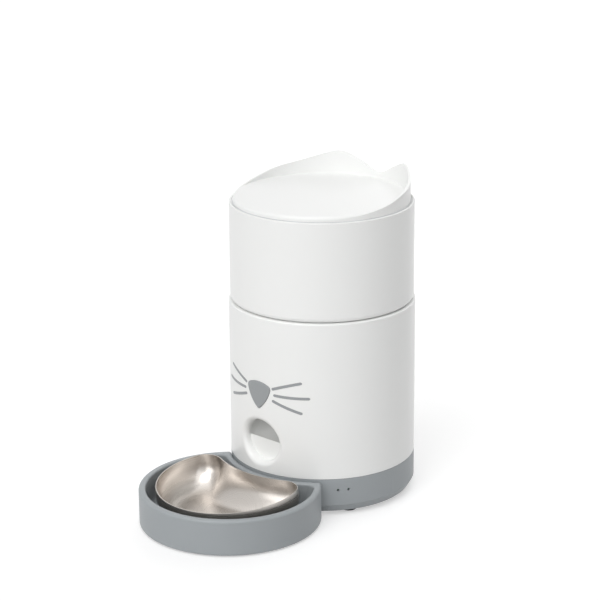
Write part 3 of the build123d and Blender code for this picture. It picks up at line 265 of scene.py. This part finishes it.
# One material for each slot of the record
materials = {
    "white_gloss": moulded(
        "white_gloss", WHITE, 0.30, grain_scale=900, grain_depth=0.000012, drift=0.01, coat=0.15
    ),
    # Inner white plastic, its colour painted a little lighter than the outer white so recesses
    # read brighter
    "white_inner": moulded(
        "white_inner", WHITE_INNER_PAINTED_LIGHTER, 0.42, grain_scale=900, grain_depth=0.00002, drift=0.015
    ),
    "grey_satin": moulded(
        "grey_satin", GREY, 0.46, grain_scale=1500, grain_depth=0.00004, drift=0.03
    ),
    "grey_trim": moulded(
        "grey_trim", GREY_TRIM, 0.42, grain_scale=1500, grain_depth=0.00003, drift=0.03
    ),
    "grey_lock": moulded(
        "grey_lock", GREY_LOCK, 0.45, grain_scale=1500, grain_depth=0.00003, drift=0.03
    ),
    "steel_dish": dish_metal("steel_dish"),
    "steel_screw": metal("steel_screw", (0.55, 0.55, 0.54), rough=0.35),
    "steel_shaft": metal("steel_shaft", (0.6, 0.6, 0.6), rough=0.25, stretch=(1, 1, 0.05)),
    "rubber_black": soft_rubber("rubber_black", (0.02, 0.02, 0.022)),
    "silicone": soft_rubber("silicone", (0.62, 0.63, 0.64), rough=0.55),
    "rotor_soft": soft_rubber("rotor_soft", (0.13, 0.14, 0.15), rough=0.65),
    "gear_acetal": moulded(
        "gear_acetal", (0.78, 0.76, 0.70), 0.35, grain_scale=1200, grain_depth=0.00002, drift=0.03
    ),
    "case_black": moulded(
        "case_black", (0.025, 0.025, 0.027), 0.5, grain_scale=1600, grain_depth=0.00006, drift=0.1
    ),
    "motor_can": metal("motor_can", (0.5, 0.5, 0.5), rough=0.3, stretch=(1, 1, 0.04)),
    "contact_metal": metal("contact_metal", (0.7, 0.67, 0.6), rough=0.2),
    "cell_wrap": moulded(
        "cell_wrap",
        (0.05, 0.06, 0.075),
        0.25,
        grain_scale=500,
        grain_depth=0.00002,
        drift=0.1,
        coat=0.3,
    ),
    "board_green": board("board_green"),
    "switch_black": moulded(
        "switch_black", (0.02, 0.02, 0.02), 0.45, grain_scale=1600, grain_depth=0.00004, drift=0.1
    ),
    "paper_pack": paper_felt("paper_pack", (0.8, 0.8, 0.77)),
}

# Every node takes the material of its slot
for entry in frame["record"]["subparts"]:
    slots = nodes[entry["node"]].data.materials
    slots.clear()
    slots.append(materials[entry["material_slot"]])


def seen_rays(tree, path):
    """1 for rays of the camera, of reflections and through glass, and 0 for rays that light."""
    indirect = math_node(
        tree, "ADD", path.outputs["Is Glossy Ray"], path.outputs["Is Transmission Ray"]
    )
    return math_node(tree, "ADD", path.outputs["Is Camera Ray"], indirect, clamp=True)


def floor_material():
    """Pale floor that keeps the object's shadow and glows a little where it is seen."""
    material, tree, shader = new_material("floor")
    shader.inputs["Base Color"].default_value = (*FLOOR_COLOUR, 1)
    shader.inputs["Roughness"].default_value = FLOOR_ROUGHNESS
    shader.inputs["Emission Color"].default_value = (1, 1, 1, 1)
    path = tree.nodes.new("ShaderNodeLightPath")
    glow = math_node(tree, "MULTIPLY", seen_rays(tree, path), FLOOR_GLOW)
    tree.links.new(glow, shader.inputs["Emission Strength"])
    return material


def make_floor():
    """Wide round floor at height 0."""
    angles = [2 * math.pi * i / FLOOR_POINTS for i in range(FLOOR_POINTS)]
    edge = [(FLOOR_RADIUS * math.cos(a), FLOOR_RADIUS * math.sin(a), 0) for a in angles]
    mesh = bpy.data.meshes.new("floor")
    mesh.from_pydata(edge, [], [list(range(FLOOR_POINTS))])
    mesh.materials.append(floor_material())
    floor = bpy.data.objects.new("floor", mesh)
    bpy.context.scene.collection.objects.link(floor)


def make_world():
    """Surroundings, white where they are seen, with the overhead panel in reflections."""
    world = bpy.data.worlds.new("studio")
    bpy.context.scene.world = world
    world.use_nodes = True
    tree = world.node_tree
    background = tree.nodes["Background"]
    background.inputs["Color"].default_value = (1, 1, 1, 1)
    path = tree.nodes.new("ShaderNodeLightPath")
    strength = ranged(tree, seen_rays(tree, path), WORLD_LEVEL, BACKDROP_LEVEL)
    direction = tree.nodes.new("ShaderNodeTexCoord")
    facing = vector_node(tree, "DOT_PRODUCT", direction.outputs["Generated"], PANEL_TOWARD)
    panel = tree.nodes.new("ShaderNodeMapRange")
    panel.interpolation_type = "SMOOTHSTEP"
    panel.inputs["From Min"].default_value = PANEL_FROM
    panel.inputs["From Max"].default_value = PANEL_FULL
    panel.inputs["To Min"].default_value = 0
    panel.inputs["To Max"].default_value = PANEL_LEVEL - BACKDROP_LEVEL
    tree.links.new(facing["Value"], panel.inputs["Value"])
    total = math_node(
        tree, "MULTIPLY_ADD", path.outputs["Is Glossy Ray"], panel.outputs["Result"], strength
    )
    tree.links.new(total, background.inputs["Strength"])


def outward(bearing, rise):
    """Direction away from the object, by its bearing from the front and its rise."""
    return Vector(
        (
            math.sin(bearing) * math.cos(rise),
            -math.cos(bearing) * math.cos(rise),
            math.sin(rise),
        )
    )


def make_sun(name, level, turn, rise, spread):
    """Soft distant lamp. At level 1 a surface that faces it shows its colour as written."""
    lamp = bpy.data.lights.new(name, "SUN")
    lamp.energy = level * math.pi
    lamp.angle = math.radians(spread)
    holder = bpy.data.objects.new(name, lamp)
    bpy.context.scene.collection.objects.link(holder)
    bearing = CAMERA_TURN + math.radians(turn)
    toward_lamp = outward(bearing, math.radians(rise))
    holder.rotation_euler = toward_lamp.to_track_quat("Z", "Y").to_euler()


def make_camera():
    """Camera at the photograph's viewpoint."""
    back = outward(CAMERA_TURN, CAMERA_RISE)
    level_right = Vector((math.cos(CAMERA_TURN), math.sin(CAMERA_TURN), 0))
    level_up = back.cross(level_right)
    right = math.cos(CAMERA_ROLL) * level_right + math.sin(CAMERA_ROLL) * level_up
    up = math.cos(CAMERA_ROLL) * level_up - math.sin(CAMERA_ROLL) * level_right
    aim = Vector((0, AXIS_Y, CAMERA_HEIGHT)) + level_right * CAMERA_SIDE
    lens = bpy.data.cameras.new("camera")
    lens.sensor_width = SENSOR_WIDTH
    lens.lens = FOCAL_LENGTH
    lens.clip_end = CLIP_END
    camera = bpy.data.objects.new("camera", lens)
    bpy.context.scene.collection.objects.link(camera)
    turned = Matrix((right, up, back)).transposed().to_4x4()
    camera.matrix_world = Matrix.Translation(aim + back * CAMERA_DISTANCE) @ turned
    bpy.context.scene.camera = camera


make_floor()
make_world()
make_sun("key", *KEY)
make_sun("fill", *FILL)
make_sun("rim", *RIM)
make_camera()
bpy.context.scene.view_settings.view_transform = "Standard"
